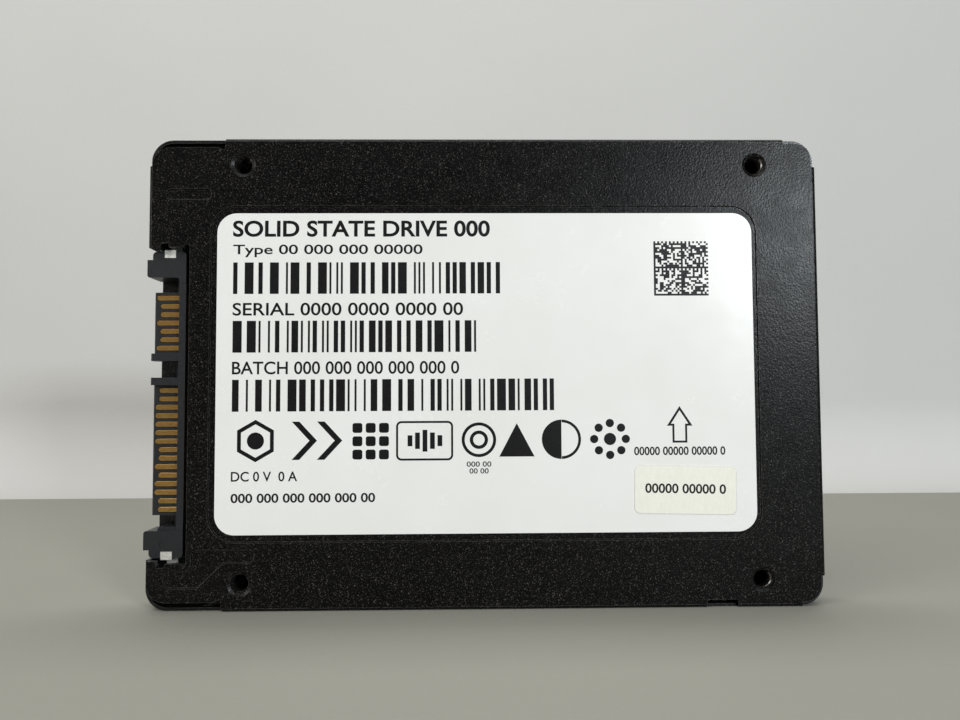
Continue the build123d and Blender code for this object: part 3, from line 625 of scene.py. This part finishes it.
def edge_mask(tree, radius_mm):
    """Near one on sharp outer and inner edges, zero on flats."""
    soft = put(tree, "ShaderNodeBevel", {"Radius": radius_mm * MM}, samples=4)
    facing = put(tree, "ShaderNodeNewGeometry")
    product = put(
        tree,
        "ShaderNodeVectorMath",
        {0: soft.outputs["Normal"], 1: facing.outputs["True Normal"]},
        operation="DOT_PRODUCT",
    )
    return ramp(tree, product.outputs["Value"], [(0.8, 1.0), (0.985, 0.0)])


# ---------------------------------------------------------------- materials
def powder_coat(name, seed, shine):
    """Black, finely wrinkled powder coat on aluminium with rubbed edges lightened as wear and painted edge
    highlight, dust, and painted glints.
    """
    paint, tree, shader = new_paint(name)
    here = place_of(tree)
    leather = noise(tree, place_of(tree, (1.0, 1.0, 0.85), (0, 20, 0)), 3.9, 1.0, 0.4, 0.2)
    grain = noise(tree, here, 9.0, 2.0, 0.6)
    cloud = noise(tree, here, 0.045 + seed * 0.004, 3.0, 0.6)
    tint = ramp(tree, cloud, [(0.3, (0.0009, 0.0008, 0.0008)), (0.7, (0.0016, 0.0016, 0.0017))])
    # Painted glints: bright specks painted into the coat colour as highlights of the grain catching the
    # light.
    painted_glint_noise = noise(tree, place_of(tree, (1.0, 1.0, 1.0), (7, 31, 12)), 5.6, 1.5, 0.6)
    painted_glint = ramp(tree, painted_glint_noise, [(0.5, 0.0), (0.6, 0.06), (0.76, 1.0)])
    tint = blend(tree, painted_glint, tint, (0.095, 0.087, 0.08))
    flecks = put(tree, "ShaderNodeTexVoronoi", {"Vector": here, "Scale": 0.9, "Randomness": 1.0})
    dot = ramp(tree, flecks.outputs["Distance"], [(0.0, 1.0), (0.075, 0.0)])
    chance = ramp(tree, flecks.outputs["Color"], [(0.72, 0.0), (0.78, 1.0)])
    dust = multiply(tree, dot, chance)
    # Rubbed edges: worn towards bare metal, and lightened in colour as a painted edge highlight.
    patchy = ramp(tree, noise(tree, here, 0.9, 4.0, 0.7), [(0.36, 0.15), (0.6, 1.0)])
    rub_and_edge_highlight = multiply(tree, edge_mask(tree, 0.08), patchy)
    tint = blend(tree, multiply(tree, dust, 0.5), tint, (0.25, 0.24, 0.22))
    tint = blend(tree, multiply(tree, rub_and_edge_highlight, 0.8), tint, (0.3, 0.29, 0.28))
    tree.links.new(tint, shader.inputs["Base Color"])
    tree.links.new(multiply(tree, rub_and_edge_highlight, 0.7), shader.inputs["Metallic"])
    sheen = ramp(tree, noise(tree, here, 0.35, 3.0, 0.6), [(0.3, 0.28), (0.7, 0.35)])
    tree.links.new(sheen, shader.inputs["Roughness"])
    shader.inputs["Specular IOR Level"].default_value = shine
    rough = bump(tree, leather, 0.027)
    tree.links.new(bump(tree, grain, 0.003, under=rough), shader.inputs["Normal"])
    return paint


def bare_metal(name, colour, roughness):
    """Bare machined or stamped metal, cloudy and a little uneven."""
    paint, tree, shader = new_paint(name)
    here = place_of(tree)
    smear = noise(tree, here, 2.2, 4.0, 0.65)
    dark = tuple(c * 0.72 for c in colour)
    tree.links.new(ramp(tree, smear, [(0.3, dark), (0.65, colour)]), shader.inputs["Base Color"])
    shader.inputs["Metallic"].default_value = 1.0
    worn = ramp(tree, noise(tree, here, 6.0, 3.0, 0.6), [(0.3, roughness * 0.75), (0.7, roughness * 1.3)])
    tree.links.new(worn, shader.inputs["Roughness"])
    tree.links.new(bump(tree, noise(tree, here, 9.0, 3.0, 0.6), 0.006), shader.inputs["Normal"])
    return paint


def contact_gold():
    """Gold flash over nickel, browner along the wiped middle, with a painted highlight making it bright at
    the rounded rim.
    """
    paint, tree, shader = new_paint("contact_gold")
    here = place_of(tree)
    wipe = noise(tree, place_of(tree, (0.35, 1, 2.4)), 3.0, 4.0, 0.7)
    tone = ramp(tree, wipe, [(0.35, (0.36, 0.19, 0.05)), (0.62, (0.62, 0.37, 0.12))])
    # Painted highlight: the rim is lightened to bright gold in the base colour.
    tone = blend(tree, edge_mask(tree, 0.16), tone, (1.0, 0.76, 0.4))
    tree.links.new(tone, shader.inputs["Base Color"])
    shader.inputs["Metallic"].default_value = 1.0
    tree.links.new(ramp(tree, wipe, [(0.3, 0.4), (0.7, 0.28)]), shader.inputs["Roughness"])
    tree.links.new(bump(tree, noise(tree, here, 8.0, 3.0), 0.01), shader.inputs["Normal"])
    return paint


def moulded_plastic(name, colour, roughness, grain_mm=0.12, edge_highlight_gain=2.2):
    """Glass-filled moulding: fine mottling, soft shine and edges lightened as a painted highlight."""
    paint, tree, shader = new_paint(name)
    here = place_of(tree)
    mottle = noise(tree, here, 1.6, 4.0, 0.65)
    dark = tuple(c * 0.7 for c in colour)
    # Painted highlight: a lighter copy of the colour laid along the edges.
    light = tuple(min(1.0, c * edge_highlight_gain) for c in colour)
    tone = ramp(tree, mottle, [(0.32, dark), (0.68, colour)])
    tone = blend(tree, multiply(tree, edge_mask(tree, 0.1), 0.75), tone, light)
    tree.links.new(tone, shader.inputs["Base Color"])
    worn = ramp(tree, noise(tree, here, 3.5, 3.0, 0.6), [(0.3, roughness * 0.85), (0.7, roughness * 1.2)])
    tree.links.new(worn, shader.inputs["Roughness"])
    tree.links.new(bump(tree, noise(tree, here, 1 / grain_mm, 3.0, 0.6), 0.012), shader.inputs["Normal"])
    return paint


def label_film():
    """White printed film: satin, faintly scuffed, with specks of dirt and fine hairlines."""
    paint, tree, shader = new_paint("label_film")
    here = place_of(tree)
    cloud = noise(tree, here, 0.05, 3.0, 0.6)
    tone = ramp(tree, cloud, [(0.3, (0.75, 0.74, 0.71)), (0.7, (0.79, 0.785, 0.765))])
    specks = put(tree, "ShaderNodeTexVoronoi", {"Vector": here, "Scale": 0.42})
    speck = ramp(tree, specks.outputs["Distance"], [(0.0, 1.0), (0.035, 0.0)])
    chance = ramp(tree, specks.outputs["Color"], [(0.66, 0.0), (0.7, 1.0)])
    dirt = multiply(tree, speck, chance)
    tone = blend(tree, multiply(tree, dirt, 0.6), tone, (0.25, 0.23, 0.2))
    hair_field = noise(tree, place_of(tree, (1.0, 1.0, 0.06), (0, 14, 0)), 0.8, 6.0, 0.75, 0.6)
    hair = ramp(tree, hair_field, [(0.66, 0.0), (0.72, 1.0), (0.74, 1.0), (0.8, 0.0)])
    scuff_field = noise(tree, place_of(tree, (1, 1, 0.3), (0, 12, 0)), 0.11, 4.0, 0.7)
    scuff = ramp(tree, scuff_field, [(0.55, 0.0), (0.75, 1.0)])
    worn = multiply(tree, hair, scuff)
    tone = blend(tree, multiply(tree, worn, 0.3), tone, (0.68, 0.68, 0.66))
    tree.links.new(tone, shader.inputs["Base Color"])
    gloss = ramp(tree, noise(tree, here, 0.12, 4.0, 0.65), [(0.3, 0.2), (0.7, 0.29)])
    gloss = blend(tree, worn, gloss, (0.16, 0.16, 0.16))
    tree.links.new(gloss, shader.inputs["Roughness"])
    wave = bump(tree, noise(tree, here, 0.16, 2.0, 0.5), 0.05)
    tree.links.new(bump(tree, noise(tree, here, 7.0, 2.0, 0.5), 0.004, under=wave), shader.inputs["Normal"])
    return paint


def sticker_paper():
    """Cream paper sticker with fibres and a rim darkened as soil and painted shadow."""
    paint, tree, shader = new_paint("sticker_paper")
    here = place_of(tree)
    fibre = noise(tree, place_of(tree, (1.0, 1.0, 0.3), (0, 35, 0)), 2.5, 5.0, 0.7)
    tone = ramp(tree, fibre, [(0.3, (0.75, 0.735, 0.645)), (0.7, (0.81, 0.795, 0.71))])
    # Rim darkened in colour: partly soil, partly a painted shadow along the edge.
    tone = blend(tree, multiply(tree, edge_mask(tree, 0.15), 0.6), tone, (0.3, 0.28, 0.22))
    tree.links.new(tone, shader.inputs["Base Color"])
    worn = ramp(tree, noise(tree, here, 1.0, 3.0), [(0.3, 0.5), (0.7, 0.62)])
    tree.links.new(worn, shader.inputs["Roughness"])
    tree.links.new(bump(tree, fibre, 0.012), shader.inputs["Normal"])
    return paint


def print_ink(name, colour):
    """Thermal-transfer ink, nearly black with slight mottling."""
    paint, tree, shader = new_paint(name)
    here = place_of(tree)
    mottle = noise(tree, here, 3.0, 4.0, 0.7)
    light = tuple(c * 2.2 for c in colour)
    tree.links.new(ramp(tree, mottle, [(0.4, colour), (0.75, light)]), shader.inputs["Base Color"])
    worn = ramp(tree, noise(tree, here, 1.0, 3.0), [(0.3, 0.38), (0.7, 0.5)])
    tree.links.new(worn, shader.inputs["Roughness"])
    shader.inputs["Specular IOR Level"].default_value = 0.2
    tree.links.new(bump(tree, mottle, 0.003), shader.inputs["Normal"])
    return paint


def board_laminate():
    """Dark green solder mask over a faint copper pattern."""
    paint, tree, shader = new_paint("board_laminate")
    here = place_of(tree)
    pattern = {
        "Vector": place_of(tree, (1, 1, 1), (90, 0, 0)),
        "Scale": 0.9,
        "Mortar Size": 0.06,
        "Brick Width": 2.6,
        "Row Height": 0.45,
    }
    tracks = put(tree, "ShaderNodeTexBrick", pattern, offset=0.37)
    mask = ramp(tree, tracks.outputs["Fac"], [(0.0, (0.006, 0.045, 0.028)), (1.0, (0.003, 0.024, 0.016))])
    tree.links.new(mask, shader.inputs["Base Color"])
    worn = ramp(tree, noise(tree, here, 1.5, 3.0), [(0.3, 0.26), (0.7, 0.38)])
    tree.links.new(worn, shader.inputs["Roughness"])
    weave = bump(tree, tracks.outputs["Fac"], 0.03)
    tree.links.new(bump(tree, noise(tree, here, 4.0, 2.0), 0.006, under=weave), shader.inputs["Normal"])
    return paint


def stage_paint(name, colour):
    """Plain pale matt surface with the faintest unevenness."""
    paint, tree, shader = new_paint(name)
    here = place_of(tree)
    lighter = tuple(c * 1.05 for c in colour)
    tone = ramp(tree, noise(tree, here, 0.01, 3.0), [(0.3, colour), (0.7, lighter)])
    tree.links.new(tone, shader.inputs["Base Color"])
    shader.inputs["Roughness"].default_value = 0.75
    tree.links.new(bump(tree, noise(tree, here, 0.7, 3.0, 0.6), 0.05), shader.inputs["Normal"])
    return paint


# ---------------------------------------------------------------- dress the CAD nodes
def dress(paint, *names):
    for name in names:
        data = nodes[name].data
        data.materials.clear()
        data.materials.append(paint)


def dress_nodes():
    """A finished material on every CAD node."""
    mould = moulded_plastic("chip_mould", (0.016, 0.016, 0.017), 0.55)
    ceramic = moulded_plastic("ceramic_body", (0.36, 0.24, 0.14), 0.4, edge_highlight_gain=1.3)
    pad = moulded_plastic("thermal_pad", (0.33, 0.38, 0.47), 0.7, grain_mm=0.2, edge_highlight_gain=1.2)
    dress(powder_coat("pan_coat", 1, 0.13), "base_pan")
    dress(powder_coat("cover_coat", 2, 0.34), "top_cover")
    dress(label_film(), "rating_label")
    dress(sticker_paper(), "origin_sticker")
    dress(moulded_plastic("plug_housing", (0.0085, 0.0095, 0.0115), 0.4, edge_highlight_gain=4.0), "connector_housing")
    dress(contact_gold(), "signal_contacts", "power_contacts")
    dress(bare_metal("tab_metal", (0.95, 0.94, 0.9), 0.5), "hold_down_tabs")
    dress(board_laminate(), "circuit_board")
    dress(mould, "controller_chip", "memory_chip", "boot_flash_chip", "power_chip")
    dress(mould, "flash_chip_1", "flash_chip_2", "flash_chip_3", "flash_chip_4")
    dress(mould, "buck_regulators", "surge_diode")
    dress(moulded_plastic("ferrite_body", (0.08, 0.08, 0.085), 0.6), "power_inductors")
    dress(bare_metal("can_metal", (0.75, 0.75, 0.73), 0.3), "crystal")
    dress(moulded_plastic("tantalum_body", (0.5, 0.3, 0.04), 0.4, edge_highlight_gain=1.3), "tantalum_capacitors")
    dress(ceramic, "ceramic_capacitors", "input_fuse")
    dress(moulded_plastic("resistor_body", (0.03, 0.03, 0.033), 0.35), "chip_resistors")
    dress(pad, "controller_pad", "flash_pad")
    dress(bare_metal("screw_metal", (0.62, 0.6, 0.57), 0.3), "board_screws")


scene.view_settings.view_transform = "Standard"
make_camera()
floor_paint = stage_paint("floor_paint", (0.28, 0.276, 0.236))
wall_paint = stage_paint("wall_paint", (0.55, 0.545, 0.525))
make_stage(floor_paint, wall_paint)
make_lights()
dress_nodes()
black_ink = print_ink("black_ink", (0.0035, 0.0032, 0.0035))
label_print(black_ink)
sticker_print(black_ink)
screw_threads(bare_metal("bare_thread", (0.2, 0.19, 0.18), 0.3))
